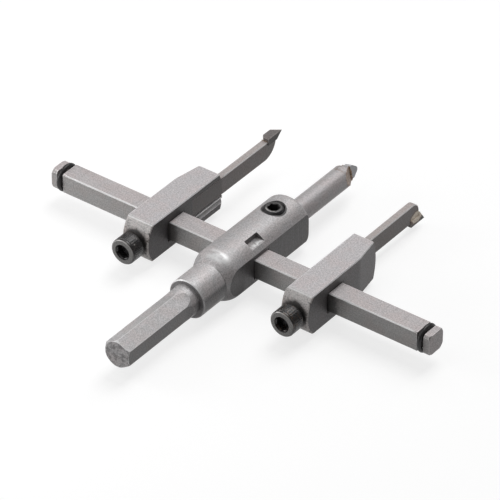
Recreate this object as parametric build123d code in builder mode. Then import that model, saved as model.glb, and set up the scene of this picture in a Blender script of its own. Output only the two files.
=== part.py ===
from build123d import *
import math
import os

# Adjustable tile hole cutter, lying on its side as it is stored.
# The spindle runs along +Y from the end of its hex shank, which is the origin.
# The crossbar lies along X through the spindle, and +Z is up. Lengths are in mm.

# Spindle: lengths follow each other from the end of the shank
hex_across_flats = 10.0
hex_length = 31.0
hex_cutter_radius = 14.0
neck_diameter = 11.5
neck_length = 7.5
shank_end_chamfer = 0.7
collar_diameter = 15.2
collar_length = 12.4
collar_rim_chamfer = 0.35
shoulder_length = 4.6
shoulder_round = 7.5
body_diameter = 20.0
body_length = 42.0
body_front_round = 1.6
body_across_flats = 16.5

# Crossbar: a square bar, held across the body
bar_size = 8.0
bar_setback = 14.5
bar_edge_chamfer = 0.35
bar_between_grooves = 152.8
bar_hole_gap = 0.3
end_length = 2.45
end_diameter = 10.2
end_chamfer = 0.5
groove_width = 2.75
groove_diameter = 7.1

# Staking notch that squeezes the body onto the bar
notch_length = 7.2
notch_start = 3.3
notch_depth = 2.2

# Retaining rings: split wire rings, one in each groove
ring_wire = 1.8
ring_wire_sides = 8
ring_seat_gap = 0.05
ring_split_angle = 36.0

# Pilot drill: a round rod with a brazed carbide plate across its end
pilot_diameter = 8.5
pilot_bore_wall = 2.7
pilot_fit = 0.05
pilot_bore_chamfer = 0.5
pilot_stickout = 31.7
pilot_cone_length = 3.3
pilot_nose_diameter = 5.0
pilot_tail_chamfer = 0.8
tip_width = 5.0
tip_thickness = 2.0
tip_length = 5.0
tip_point_length = 2.2
tip_reach = 4.0
tip_turn = 14.0
tip_seat_gap = 0.03

# Pilot set screw: a short screw with a hex socket in the top of the body
set_screw_diameter = 8.0
set_screw_setback = 9.5
set_screw_proud = 0.3
set_screw_socket = 4.0
set_screw_socket_depth = 3.6
set_screw_chamfer = 0.7
set_screw_tip_gap = 0.3
set_screw_countersink = 0.5
thread_fit = 0.05

# Clamp blocks: two alike, the left one turned half a turn about the spindle
block_centre = 34.3
block_width = 11.2
block_height = 16.1
block_behind_bar = 13.0
block_before_bar = 24.9
block_rear_bulge = 3.5
block_front_bulge = 1.8
block_taper_length = 11.0
block_taper_depth = 1.9
block_taper_blend = 9.0
block_inner_chamfer = 1.1
block_edge_chamfer = 0.35
block_hole_fit = 0.12
block_hole_rear_gap = 1.2
block_hole_round = 1.0
lip_groove_depth = 0.8
lip_gap_height = 1.0
lip_groove_height = 2.4

# Clamp screws: socket cap screws through the rear of each block
clamp_screw_diameter = 6.0
clamp_head_diameter = 10.0
clamp_head_length = 6.0
clamp_head_gap = 1.1
clamp_head_chamfer = 0.5
clamp_socket = 5.0
clamp_socket_depth = 3.0
clamp_countersink = 0.4
clamp_tip_gap = 0.1
clamp_tip_chamfer = 0.7

# Cutter bits: flat bars seated in the inner side of the blocks
bit_thickness = 2.8
bit_height = 7.4
bit_below_centre = 1.5
bit_seat_gap = 0.03
bit_tail_wall = 4.9
bit_edge_chamfer = 0.3
bit_reach = {"left": 61.1, "right": 64.3}
bit_heel_round = {"left": 7.0, "right": 3.8}
bit_heel_share = 0.95

# Carbide inserts: brazed plates, with the +X corner leading on both sides
insert_width = 3.4
insert_length = 8.0
insert_thickness = 2.6
insert_proud = 1.3
insert_slant = 2.6
insert_relief = 2.9
insert_clip = 1.2

# Radii and half sizes that several pieces share
neck_radius = neck_diameter / 2
collar_radius = collar_diameter / 2
body_radius = body_diameter / 2
bar_half = bar_size / 2
pilot_radius = pilot_diameter / 2
groove_radius = groove_diameter / 2
set_screw_radius = set_screw_diameter / 2
clamp_screw_radius = clamp_screw_diameter / 2
block_inner = block_centre - block_width / 2
block_outer = block_centre + block_width / 2
block_half_height = block_height / 2
bar_main_half = bar_between_grooves / 2
bar_half_length = bar_main_half + groove_width + end_length
ring_radius = groove_radius + ring_seat_gap + ring_wire / 2
clamp_head_radius = clamp_head_diameter / 2

# Stations along the spindle
collar_start = hex_length + neck_length
shoulder_start = collar_start + collar_length
body_start = shoulder_start + shoulder_length
body_end = body_start + body_length
bar_station = body_start + bar_setback
set_screw_station = body_end - set_screw_setback
bore_end = bar_station + bar_half + bar_hole_gap + pilot_bore_wall
cone_station = body_end + pilot_stickout
nose_station = cone_station + pilot_cone_length

# Stations of the clamp blocks and of what they hold
block_rear = bar_station - block_behind_bar - block_rear_bulge
block_front = bar_station + block_before_bar + block_front_bulge
block_hole_front = bar_station + bar_half + block_hole_fit
block_hole_rear = bar_station - bar_half - block_hole_rear_gap
bit_tail_station = block_hole_front + bit_tail_wall
head_back = block_rear - clamp_head_gap
head_face = head_back - clamp_head_length
clamp_tip = bar_station - bar_half - clamp_tip_gap

os.makedirs("parts", exist_ok=True)


def radial_plane(angle):
    """Plane through the spindle axis: local x runs along +Y, local y points outward."""
    turn = math.radians(angle)
    return Plane(origin=(0, 0, 0), x_dir=(0, 1, 0), z_dir=(math.sin(turn), 0, -math.cos(turn)))


def section_plane(station):
    """Plane square to the spindle at a station: local x runs along +X, local y is up."""
    return Plane.XZ.offset(-station)


# Arbor body: turned shank, collar and body, with milled hex and flats
with BuildPart() as arbor_body:
    with BuildSketch(Plane.XY):
        with BuildLine():
            FilletPolyline(
                (collar_radius, shoulder_start),
                (body_radius, body_start),
                (body_radius, body_end - body_front_round),
                radius=shoulder_round,
            )
            TangentArc(
                (body_radius, body_end - body_front_round),
                (body_radius - body_front_round, body_end),
                tangent=(0, 1),
            )
            Polyline(
                (body_radius - body_front_round, body_end),
                (0, body_end),
                (0, 0),
                (neck_radius - shank_end_chamfer, 0),
                (neck_radius, shank_end_chamfer),
                (neck_radius, collar_start),
                (collar_radius - collar_rim_chamfer, collar_start),
                (collar_radius, collar_start + collar_rim_chamfer),
                (collar_radius, shoulder_start),
            )
        make_face()
    revolve(axis=Axis.Y)

    # Each flat of the hex ends in the arc of the cutter that milled it
    flat_depth = neck_radius - hex_across_flats / 2
    runout = math.sqrt(hex_cutter_radius**2 - (hex_cutter_radius - flat_depth) ** 2)
    for flat in range(6):
        with BuildSketch(radial_plane(60 * flat)):
            with BuildLine():
                Polyline(
                    (hex_length + runout, neck_radius),
                    (hex_length + runout, neck_diameter),
                    (-shank_end_chamfer, neck_diameter),
                    (-shank_end_chamfer, hex_across_flats / 2),
                    (hex_length, hex_across_flats / 2),
                )
                TangentArc(
                    (hex_length, hex_across_flats / 2),
                    (hex_length + runout, neck_radius),
                    tangent=(1, 0),
                )
            make_face()
        extrude(amount=neck_radius, both=True, mode=Mode.SUBTRACT)

    # Two flats on the body, which run out on its cone-shaped shoulder
    for side in (-1, 1):
        with BuildSketch(Plane.YZ.offset(side * body_across_flats / 2)):
            with Locations(((shoulder_start + body_end) / 2, 0)):
                Rectangle(body_end - shoulder_start, body_diameter)
        extrude(amount=side * body_radius, mode=Mode.SUBTRACT)

    # Square hole for the crossbar
    with BuildSketch(Plane.YZ):
        with Locations((bar_station, 0)):
            Rectangle(bar_size + 2 * bar_hole_gap, bar_size + 2 * bar_hole_gap)
    extrude(amount=body_radius, both=True, mode=Mode.SUBTRACT)

    # Staking notch beside the crest of the body, open towards +X
    notch_floor = math.sqrt(body_radius**2 - notch_start**2) - notch_depth
    with BuildSketch(Plane.XY.offset(notch_floor)):
        with Locations((notch_start, bar_station)):
            Rectangle(body_radius, notch_length, align=(Align.MIN, Align.CENTER))
    extrude(amount=body_radius, mode=Mode.SUBTRACT)

    # Bore for the pilot drill, and the tapped hole of its set screw
    with Locations(Plane(origin=(0, body_end, 0), z_dir=(0, 1, 0))):
        CounterSinkHole(
            pilot_radius + pilot_fit,
            pilot_radius + pilot_fit + pilot_bore_chamfer,
            body_end - bore_end,
            counter_sink_angle=90,
        )
    with Locations((0, set_screw_station, body_radius)):
        CounterSinkHole(
            set_screw_radius + thread_fit,
            set_screw_radius + thread_fit + set_screw_countersink,
            body_radius - pilot_radius / 2,
            counter_sink_angle=90,
        )

arbor_body.part.label = "arbor_body"
export_step(arbor_body.part, "parts/arbor_body.step")

# Pilot drill: the rod slides in the bore and carries a slot for its plate. The drill
# is turned a little in its bore, so the slot and the plate share a slanting plane.
tip_station = nose_station + tip_reach
slot_floor = tip_station - tip_length
plate_plane = Plane(
    origin=(0, 0, 0),
    x_dir=(0, 1, 0),
    z_dir=(math.cos(math.radians(tip_turn)), 0, math.sin(math.radians(tip_turn))),
)
with BuildPart() as pilot_drill:
    with BuildSketch(Plane.XY):
        Polygon(
            (0, bore_end),
            (pilot_radius - pilot_tail_chamfer, bore_end),
            (pilot_radius, bore_end + pilot_tail_chamfer),
            (pilot_radius, cone_station),
            (pilot_nose_diameter / 2, nose_station),
            (0, nose_station),
            align=None,
        )
    revolve(axis=Axis.Y)
    with BuildSketch(plate_plane):
        with Locations((slot_floor, 0)):
            Rectangle(tip_length, pilot_diameter, align=(Align.MIN, Align.CENTER))
    extrude(amount=tip_thickness / 2 + tip_seat_gap, both=True, mode=Mode.SUBTRACT)

pilot_drill.part.label = "pilot_drill"
export_step(pilot_drill.part, "parts/pilot_drill.step")

with BuildPart() as pilot_carbide_tip:
    plate_rear = slot_floor + tip_seat_gap
    with BuildSketch(plate_plane):
        Polygon(
            (plate_rear, -tip_width / 2),
            (tip_station - tip_point_length, -tip_width / 2),
            (tip_station, 0),
            (tip_station - tip_point_length, tip_width / 2),
            (plate_rear, tip_width / 2),
            align=None,
        )
    extrude(amount=tip_thickness / 2, both=True)

pilot_carbide_tip.part.label = "pilot_carbide_tip"
export_step(pilot_carbide_tip.part, "parts/pilot_carbide_tip.step")

# Set screw: its tip bears on the pilot drill, its socket faces up
with BuildPart() as pilot_set_screw:
    screw_top = body_radius + set_screw_proud
    screw_tip = pilot_radius + set_screw_tip_gap
    with BuildSketch(Plane.XY.offset(screw_tip)):
        with Locations((0, set_screw_station)):
            Circle(set_screw_radius)
    extrude(amount=screw_top - screw_tip)
    chamfer(pilot_set_screw.edges().filter_by(GeomType.CIRCLE), length=set_screw_chamfer)
    with BuildSketch(Plane.XY.offset(screw_top)):
        with Locations((0, set_screw_station)):
            RegularPolygon(set_screw_socket / 2, 6, major_radius=False)
    extrude(amount=-set_screw_socket_depth, mode=Mode.SUBTRACT)

pilot_set_screw.part.label = "pilot_set_screw"
export_step(pilot_set_screw.part, "parts/pilot_set_screw.step")

# Crossbar: the long edges are broken, the ends are turned for the rings
with BuildPart() as crossbar:
    with BuildSketch(Plane.YZ):
        with Locations((bar_station, 0)):
            Rectangle(bar_size, bar_size)
    extrude(amount=bar_half_length, both=True)
    chamfer(crossbar.edges().filter_by(Axis.X), length=bar_edge_chamfer)
    for side in (-1, 1):
        groove_outer = bar_main_half + groove_width
        with BuildSketch(Plane.XY):
            with Locations((0, bar_station)):
                Polygon(
                    (side * bar_main_half, bar_size),
                    (side * bar_main_half, groove_radius),
                    (side * groove_outer, groove_radius),
                    (side * groove_outer, end_diameter / 2),
                    (side * (bar_half_length - end_chamfer), end_diameter / 2),
                    (side * bar_half_length, end_diameter / 2 - end_chamfer),
                    (side * (bar_half_length + end_chamfer), end_diameter / 2 - end_chamfer),
                    (side * (bar_half_length + end_chamfer), bar_size),
                    align=None,
                )
        revolve(axis=Axis((0, bar_station, 0), (1, 0, 0)), mode=Mode.SUBTRACT)

crossbar.part.label = "crossbar"
export_step(crossbar.part, "parts/crossbar.step")

# Retaining rings: the split of each ring faces down
for side, name in ((-1, "left"), (1, "right")):
    with BuildPart() as retaining_ring:
        ring_place = side * (bar_main_half + groove_width / 2)
        half_split = math.radians(ring_split_angle / 2)
        wire_end = Plane(
            origin=(ring_place, bar_station, 0),
            x_dir=(0, math.sin(half_split), -math.cos(half_split)),
            z_dir=(0, math.cos(half_split), math.sin(half_split)),
        )
        with BuildSketch(wire_end):
            with Locations((ring_radius, 0)):
                RegularPolygon(
                    ring_wire / 2,
                    ring_wire_sides,
                    major_radius=False,
                    rotation=180 / ring_wire_sides,
                )
        revolve(
            axis=Axis((0, bar_station, 0), (1, 0, 0)),
            revolution_arc=360 - ring_split_angle,
        )

    retaining_ring.part.label = f"{name}_retaining_ring"
    export_step(retaining_ring.part, f"parts/{name}_retaining_ring.step")

# Clamp blocks: side is -1 on the left and 1 on the right. The right block is
# the left one turned half a turn about the spindle, so up follows the side.
for side, name in ((-1, "left"), (1, "right")):
    up = -side
    inner = side * block_inner
    outer = side * block_outer
    top_rear = bar_station - block_behind_bar
    top_front = bar_station + block_before_bar
    with BuildPart() as clamp_block:
        # Side outline: flat top and bottom, bulging rear and front ends
        with BuildSketch(Plane.YZ.offset(side * block_centre)):
            with BuildLine():
                Line((top_rear, block_half_height), (top_front, block_half_height))
                ThreePointArc(
                    (top_front, block_half_height),
                    (top_front + block_front_bulge, 0),
                    (top_front, -block_half_height),
                )
                Line((top_front, -block_half_height), (top_rear, -block_half_height))
                ThreePointArc(
                    (top_rear, -block_half_height),
                    (top_rear - block_rear_bulge, 0),
                    (top_rear, block_half_height),
                )
            make_face()
        extrude(amount=block_width / 2, both=True)

        # The outer side tapers in towards the bits
        taper_start = top_front - block_taper_length
        taper_end = top_front + block_front_bulge
        taper_slope = block_taper_depth / block_taper_length
        taper_edge = outer - side * taper_slope * (taper_end - taper_start)
        with BuildSketch(Plane.XY):
            with BuildLine() as taper_line:
                FilletPolyline(
                    (outer, taper_start - block_taper_length),
                    (outer, taper_start),
                    (taper_edge, taper_end),
                    radius=block_taper_blend,
                )
                Polyline(
                    (taper_edge, taper_end),
                    (outer + side * block_width, taper_end),
                    (outer + side * block_width, taper_start - block_taper_length),
                    (outer, taper_start - block_taper_length),
                )
            make_face()
        extrude(amount=block_height, both=True, mode=Mode.SUBTRACT)

        chamfer(clamp_block.edges(), length=block_edge_chamfer)

        # Hole for the crossbar, longer behind it where the screw presses
        with BuildSketch(Plane.YZ.offset(side * block_centre)):
            with Locations(((block_hole_front + block_hole_rear) / 2, 0)):
                hole = Rectangle(block_hole_front - block_hole_rear, bar_size + 2 * block_hole_fit)
            fillet(hole.vertices().group_by(Axis.X)[0], radius=block_hole_round)
        extrude(amount=block_width, both=True, mode=Mode.SUBTRACT)

        # Channel for the bit, open to the front and to the inner side
        channel_depth = bit_thickness + bit_seat_gap
        channel_low = -up * (bit_below_centre + bit_seat_gap)
        channel_high = up * (bit_height - bit_below_centre + bit_seat_gap)
        with BuildSketch(section_plane(bit_tail_station - bit_seat_gap)):
            with Locations((inner + side * channel_depth / 2, (channel_low + channel_high) / 2)):
                Rectangle(channel_depth, abs(channel_high - channel_low))
        extrude(amount=-block_before_bar, mode=Mode.SUBTRACT)

        # Lip below the channel: a gap under the bit, a groove and a bevelled foot
        lip_floor = inner + side * lip_groove_depth
        groove_top = channel_low - up * lip_gap_height
        groove_low = groove_top - up * lip_groove_height
        with BuildSketch(section_plane(bar_station)):
            Polygon(
                (inner, channel_low),
                (lip_floor, channel_low),
                (lip_floor, channel_low - up * lip_gap_height / 2),
                (inner, groove_top),
                align=None,
            )
            Polygon(
                (inner, groove_top),
                (lip_floor, (groove_top + groove_low) / 2),
                (inner, groove_low),
                align=None,
            )
        extrude(amount=-2 * block_before_bar, mode=Mode.SUBTRACT)
        foot = -up * block_half_height
        with BuildSketch(section_plane(block_rear - block_height)):
            Polygon(
                (inner, foot + up * block_inner_chamfer),
                (inner, foot),
                (inner + side * block_inner_chamfer, foot),
                align=None,
            )
        extrude(amount=-(block_front - block_rear + 2 * block_height), mode=Mode.SUBTRACT)

        # Tapped hole of the clamp screw, from the rear bulge to the crossbar
        with Locations(Plane(origin=(side * block_centre, block_rear, 0), z_dir=(0, -1, 0))):
            CounterSinkHole(
                clamp_screw_radius + thread_fit,
                clamp_screw_radius + thread_fit + clamp_countersink,
                block_hole_rear - block_rear,
                counter_sink_angle=90,
            )

    clamp_block.part.label = f"{name}_clamp_block"
    export_step(clamp_block.part, f"parts/{name}_clamp_block.step")

# Clamp screws: the head stands off the block, the tip presses on the crossbar
for side, name in ((-1, "left"), (1, "right")):
    with BuildPart() as clamp_screw:
        with BuildSketch(Plane.XY):
            with Locations((side * block_centre, 0)):
                Polygon(
                    (0, head_face),
                    (clamp_head_radius - clamp_head_chamfer, head_face),
                    (clamp_head_radius, head_face + clamp_head_chamfer),
                    (clamp_head_radius, head_back),
                    (clamp_screw_radius, head_back),
                    (clamp_screw_radius, clamp_tip - clamp_tip_chamfer),
                    (clamp_screw_radius - clamp_tip_chamfer, clamp_tip),
                    (0, clamp_tip),
                    align=None,
                )
        revolve(axis=Axis((side * block_centre, 0, 0), (0, 1, 0)))
        with BuildSketch(section_plane(head_face)):
            with Locations((side * block_centre, 0)):
                RegularPolygon(clamp_socket / 2, 6, major_radius=False)
        extrude(amount=-clamp_socket_depth, mode=Mode.SUBTRACT)

    clamp_screw.part.label = f"{name}_clamp_screw"
    export_step(clamp_screw.part, f"parts/{name}_clamp_screw.step")

# Cutter bits: the heel is rounded, the end is ground back behind the insert
for side, name in ((-1, "left"), (1, "right")):
    up = -side
    bit_centre = side * (block_inner + bit_thickness / 2)
    bit_low = -up * bit_below_centre
    bit_high = up * (bit_height - bit_below_centre)
    point_station = bar_station + bit_reach[name]
    bit_end = point_station - insert_relief
    with BuildPart() as cutter_bit:
        with BuildSketch(Plane.YZ.offset(bit_centre)):
            with Locations(((bit_tail_station + bit_end) / 2, (bit_low + bit_high) / 2)):
                blank = Rectangle(bit_end - bit_tail_station, bit_height)
            heel = blank.vertices().group_by(Axis.X)[-1].sort_by(Axis.Y)[0 if up > 0 else -1]
            fillet(heel, radius=min(bit_heel_round[name], bit_heel_share * bit_height))
        extrude(amount=bit_thickness / 2, both=True)
        chamfer(cutter_bit.edges().filter_by(Axis.Y), length=bit_edge_chamfer)

        # Seat of the insert in the cutting side of the bit
        seat_rear = point_station - insert_length
        with BuildSketch(Plane.YZ.offset(bit_centre)):
            with Locations(((seat_rear + point_station) / 2, bit_high)):
                Rectangle(insert_length, 2 * (insert_thickness - insert_proud))
        extrude(amount=bit_thickness, both=True, mode=Mode.SUBTRACT)

        # The end face slants with the insert, the +X side leading
        slant_slope = insert_slant / insert_width
        lead_edge = bit_centre + insert_width / 2
        trail_edge = bit_centre - insert_width / 2
        with BuildSketch(Plane.XY):
            Polygon(
                (lead_edge, bit_end),
                (trail_edge, bit_end - insert_slant),
                (trail_edge, point_station),
                (lead_edge, point_station),
                align=None,
            )
        extrude(amount=bit_height, both=True, mode=Mode.SUBTRACT)

    cutter_bit.part.label = f"{name}_cutter_bit"
    export_step(cutter_bit.part, f"parts/{name}_cutter_bit.step")

# Carbide inserts: the front is relieved below the cutting edge
for side, name in ((-1, "left"), (1, "right")):
    up = -side
    bit_centre = side * (block_inner + bit_thickness / 2)
    lead_edge = bit_centre + insert_width / 2
    trail_edge = bit_centre - insert_width / 2
    insert_point = bar_station + bit_reach[name]
    insert_rear = insert_point - insert_length + bit_seat_gap
    insert_top = up * (bit_height - bit_below_centre + insert_proud)
    with BuildPart() as carbide_insert:
        for level, setback in ((insert_top, 0), (insert_top - up * insert_thickness, insert_relief)):
            with BuildSketch(Plane.XY.offset(level)):
                Polygon(
                    (lead_edge, insert_point - setback),
                    (trail_edge, insert_point - insert_slant - setback),
                    (trail_edge, insert_rear + insert_clip),
                    (trail_edge + insert_clip, insert_rear),
                    (lead_edge, insert_rear),
                    align=None,
                )
        loft(ruled=True)

    carbide_insert.part.label = f"{name}_carbide_insert"
    export_step(carbide_insert.part, f"parts/{name}_carbide_insert.step")
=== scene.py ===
# %% [markdown]
# # An adjustable tile hole cutter
# The tool lies on its side. A hex shank, a collar and a body make one spindle, a square
# crossbar passes through the body, and two clamp blocks carry the cutter bits. The solids
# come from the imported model, so this file mostly dresses them. It gives them their finish
# and adds what is too fine for the solids: threads, knurling, round wire and braze. It also
# draws the ground tips of the pilot drill and of the right bit more closely.

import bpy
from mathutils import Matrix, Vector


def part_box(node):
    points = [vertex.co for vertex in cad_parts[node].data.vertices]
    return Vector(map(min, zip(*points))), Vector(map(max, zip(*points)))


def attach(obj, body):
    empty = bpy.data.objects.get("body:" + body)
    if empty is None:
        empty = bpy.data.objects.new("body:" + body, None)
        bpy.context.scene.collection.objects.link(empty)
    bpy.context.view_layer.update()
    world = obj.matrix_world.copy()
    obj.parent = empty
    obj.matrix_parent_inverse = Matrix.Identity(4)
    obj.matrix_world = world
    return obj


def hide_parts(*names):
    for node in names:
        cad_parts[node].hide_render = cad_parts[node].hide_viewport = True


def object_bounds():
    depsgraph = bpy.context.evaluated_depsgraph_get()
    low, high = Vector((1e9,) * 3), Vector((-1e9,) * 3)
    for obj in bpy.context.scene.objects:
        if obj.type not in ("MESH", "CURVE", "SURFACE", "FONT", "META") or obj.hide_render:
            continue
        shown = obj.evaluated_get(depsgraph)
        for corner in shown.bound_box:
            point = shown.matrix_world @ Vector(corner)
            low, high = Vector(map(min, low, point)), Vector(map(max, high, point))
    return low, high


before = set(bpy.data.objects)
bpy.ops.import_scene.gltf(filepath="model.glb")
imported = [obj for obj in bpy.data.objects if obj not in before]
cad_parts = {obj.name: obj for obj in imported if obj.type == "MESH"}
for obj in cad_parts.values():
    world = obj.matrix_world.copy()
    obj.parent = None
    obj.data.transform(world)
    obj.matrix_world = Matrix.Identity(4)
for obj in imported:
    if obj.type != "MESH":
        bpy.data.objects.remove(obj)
solid_low, solid_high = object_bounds()
print("solids from", solid_low, "to", solid_high)

# %% The other tools of this file
import math

import bmesh
import bpy
from mathutils import Vector, noise

MM = 0.001
SIDES = {"left": -1, "right": 1}

# %% [markdown]
# ## Sizes from the solids
# Most places below are measured on the solids, so a detail follows the part that carries
# it when the model changes. The sizes of the details themselves, and the places of marks
# that no solid shows, are written as numbers.

# %% Measure the pieces that carry details
body_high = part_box("arbor_body")[1]
bar_low, bar_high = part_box("crossbar")
pilot_low, pilot_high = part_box("pilot_drill")
set_screw_low, set_screw_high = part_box("pilot_set_screw")
set_screw_middle = (set_screw_low.y + set_screw_high.y) / 2
block_low, block_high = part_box("left_clamp_block")
screw_low, screw_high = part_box("left_clamp_screw")

bar_station = (bar_low.y + bar_high.y) / 2
bar_half = (bar_high.z - bar_low.z) / 2
floor_level = solid_low.z
print("crossbar at y", bar_station, "half size", bar_half, "floor at z", floor_level)

# %% [markdown]
# ## Camera
# The photograph was taken from far away through a long lens, so the edges of the crossbar
# hardly converge. The camera looks down on the tool from the side of the shank. Its angles
# were found from the corners of the crossbar and the blocks.

# %% Place the camera
CAMERA_AZIMUTH = math.radians(36.9)
CAMERA_ELEVATION = math.radians(36.38)
CAMERA_DISTANCE = 1.5
LENS_MM = 312.4
SENSOR_MM = 36.0
AIM_RIGHT = 2.595 * MM
AIM_UP = 1.886 * MM

camera_right = Vector((math.cos(CAMERA_AZIMUTH), math.sin(CAMERA_AZIMUTH), 0))
camera_back = Vector((
    math.sin(CAMERA_AZIMUTH) * math.cos(CAMERA_ELEVATION),
    -math.cos(CAMERA_AZIMUTH) * math.cos(CAMERA_ELEVATION),
    math.sin(CAMERA_ELEVATION),
))
camera_up = camera_back.cross(camera_right)
aim = Vector((0, bar_station, 0)) + camera_right * AIM_RIGHT + camera_up * AIM_UP

camera = bpy.data.objects.new("camera", bpy.data.cameras.new("camera"))
bpy.context.scene.collection.objects.link(camera)
bpy.context.scene.camera = camera
camera.data.lens = LENS_MM
camera.data.sensor_width = SENSOR_MM
camera.data.clip_start = 0.1
camera.data.clip_end = 50
camera.location = aim + camera_back * CAMERA_DISTANCE
camera.rotation_mode = "QUATERNION"
camera.rotation_quaternion = (-camera_back).to_track_quat("-Z", "Y")
print("camera at", camera.location)

# %% [markdown]
# ## Shader sums in Python
# A material in Blender is a graph of nodes. Writing the graph link by link hides its
# meaning, so `Wire` wraps the output of a node and gives it the usual operators. With it,
# `1 - mask` adds a Math node. `Finish` is one material, and its method `node` makes any
# node from its type, its settings, and the values or wires of its sockets.

# %% A wire that takes part in sums
class Wire:
    """The output of a node, which Python's operators combine into Math nodes."""

    def __init__(self, finish, socket):
        self.finish = finish
        self.socket = socket

    def sum_with(self, operation, first, second=0.0):
        return self.finish.node("ShaderNodeMath", {"operation": operation}, (first, second))

    def __add__(self, other):
        return self.sum_with("ADD", self, other)

    def __sub__(self, other):
        return self.sum_with("SUBTRACT", self, other)

    def __mul__(self, other):
        return self.sum_with("MULTIPLY", self, other)

    def __truediv__(self, other):
        return self.sum_with("DIVIDE", self, other)

    def __rsub__(self, other):
        return self.sum_with("SUBTRACT", other, self)

    def __rtruediv__(self, other):
        return self.sum_with("DIVIDE", other, self)

    def __abs__(self):
        return self.sum_with("ABSOLUTE", self)

    __radd__ = __add__
    __rmul__ = __mul__

    def sine(self):
        return self.sum_with("SINE", self)

    def root(self):
        return self.sum_with("SQRT", self)

    def rises(self, start, end):
        """0 below start, 1 above end, and a smooth step between them."""
        return self.finish.node(
            "ShaderNodeMapRange",
            {"interpolation_type": "SMOOTHSTEP"},
            {"Value": self, "From Min": start, "From Max": end},
        )

    def falls(self, start, end):
        """1 below start, 0 above end, and a smooth step between them."""
        return 1.0 - self.rises(start, end)

    def between(self, low, high, soft):
        """1 from low to high, and 0 further than soft outside them."""
        return self.rises(low - soft, low) * self.falls(high, high + soft)


# %% A material and its nodes
class Finish:
    """One material: a surface shader, and the nodes that feed it."""

    def __init__(self, name, metallic, roughness, colour):
        self.material = bpy.data.materials.new(name)
        self.material.use_nodes = True
        self.tree = self.material.node_tree
        self.tree.nodes.clear()
        self.surface = self.tree.nodes.new("ShaderNodeBsdfPrincipled")
        output = self.tree.nodes.new("ShaderNodeOutputMaterial")
        self.tree.links.new(self.surface.outputs["BSDF"], output.inputs["Surface"])
        self.feed(self.surface.inputs["Metallic"], metallic)
        self.rough(roughness)
        self.paint((*colour, 1.0))
        self.place = self.node("ShaderNodeTexCoord", output="Object")
        self.x, self.y, self.z = self.parts_of(self.place)
        self.facing = self.parts_of(self.node("ShaderNodeTexCoord", output="Normal"))
        self.material.diffuse_color = (*colour, 1.0)

    def feed(self, socket, value):
        if isinstance(value, Wire):
            self.tree.links.new(value.socket, socket)
        else:
            socket.default_value = value

    def node(self, kind, settings=None, inputs=(), output=0):
        """Any node: its settings come first, then the values or wires of its sockets."""
        made = self.tree.nodes.new(kind)
        for name, value in (settings or {}).items():
            setattr(made, name, value)
        pairs = inputs.items() if isinstance(inputs, dict) else enumerate(inputs)
        for key, value in pairs:
            self.feed(made.inputs[key], value)
        return Wire(self, made.outputs[output])

    def parts_of(self, wire):
        """The three numbers of a place or colour, each on a wire of its own."""
        split = self.node("ShaderNodeSeparateXYZ", inputs=(wire,)).socket.node
        return [Wire(self, output) for output in split.outputs]

    def noise(self, grain, detail=2.0, stretch=(1, 1, 1), warp=0.0):
        """Cloudy values from 0 to 1, with spots about one grain across, in metres."""
        place = self.node(
            "ShaderNodeVectorMath",
            {"operation": "DIVIDE"},
            (self.place, tuple(grain * way for way in stretch)),
        )
        return self.node(
            "ShaderNodeTexNoise",
            inputs={"Vector": place, "Scale": 1.0, "Detail": detail, "Distortion": warp},
        )

    def spots(self, spacing, size, share):
        """1 inside round spots: a random share of the cells, spacing metres apart, has one."""
        cells = {"Vector": self.place, "Scale": 1 / spacing}
        distance = self.node("ShaderNodeTexVoronoi", inputs=cells)
        pick = self.parts_of(self.node("ShaderNodeTexVoronoi", inputs=cells, output="Color"))[0]
        inside = distance.falls(size / spacing * 0.5, size / spacing)
        return inside * pick.falls(share, share + 0.02)

    def edges(self, radius):
        """1 along sharp edges, as wide as the radius, and 0 on smooth surfaces."""
        rounded = self.node("ShaderNodeBevel", {"samples": 6}, {"Radius": radius})
        flat = self.node("ShaderNodeNewGeometry", output="Normal")
        dot = {"operation": "DOT_PRODUCT"}
        cosine = self.node("ShaderNodeVectorMath", dot, (rounded, flat), output="Value")
        return cosine.falls(0.96, 0.9995)

    def blend(self, mask, first, second, way="MIX"):
        """The first colour where the mask is 0, and the second where it is 1."""
        inputs = {0: mask, 6: first, 7: second}
        settings = {"data_type": "RGBA", "blend_type": way}
        return self.node("ShaderNodeMix", settings, inputs, output=2)

    def paint(self, colour):
        self.colour = colour
        self.feed(self.surface.inputs["Base Color"], colour)

    def stain(self, mask, colour):
        """Lays another colour over the present one where the mask is 1."""
        self.paint(self.blend(mask, self.colour, colour))

    def tint(self, mask, colour):
        """Multiplies the present colour by another where the mask is 1."""
        self.paint(self.blend(mask, self.colour, (*colour, 1.0), way="MULTIPLY"))

    def dim(self, mask, factor):
        """Multiplies the present colour by a number below 1 where the mask is 1."""
        self.tint(mask, (factor, factor, factor))

    def rough(self, value):
        self.roughness = value
        self.feed(self.surface.inputs["Roughness"], value)

    def glow(self, colour):
        self.feed(self.surface.inputs["Emission Color"], colour)
        self.surface.inputs["Emission Strength"].default_value = 1.0

    def relief(self, height, depth):
        """Raises the surface by depth metres where height is 1."""
        bump = self.node(
            "ShaderNodeBump", inputs={"Strength": 1.0, "Distance": depth, "Height": height}
        )
        self.feed(self.surface.inputs["Normal"], bump)


# %% Colours for sockets, and finishes for solids
WHITE = (1.0, 1.0, 1.0)


def shade(colour, factor=1.0):
    """A colour for a socket, made lighter or darker."""
    return tuple(min(1.0, part * factor) for part in colour) + (1.0,)


def dress(node, finish):
    """Gives a solid its material, through the slots that it came with."""
    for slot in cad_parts[node].material_slots:
        slot.material = finish.material
    print(node, "wears", finish.material.name)


# %% [markdown]
# ## Stage and light
# The photograph is cut out on pure white. Its light comes from above and behind, and from
# a lamp low on the left, so the tops are bright while the flanks towards the camera stay
# dark. A white floor would throw light back onto those flanks. So the floor has two looks:
# rays from the tool's matt surfaces see it dark, while the camera and reflections see it
# nearly white. It still takes the tool's shadow.

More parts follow.
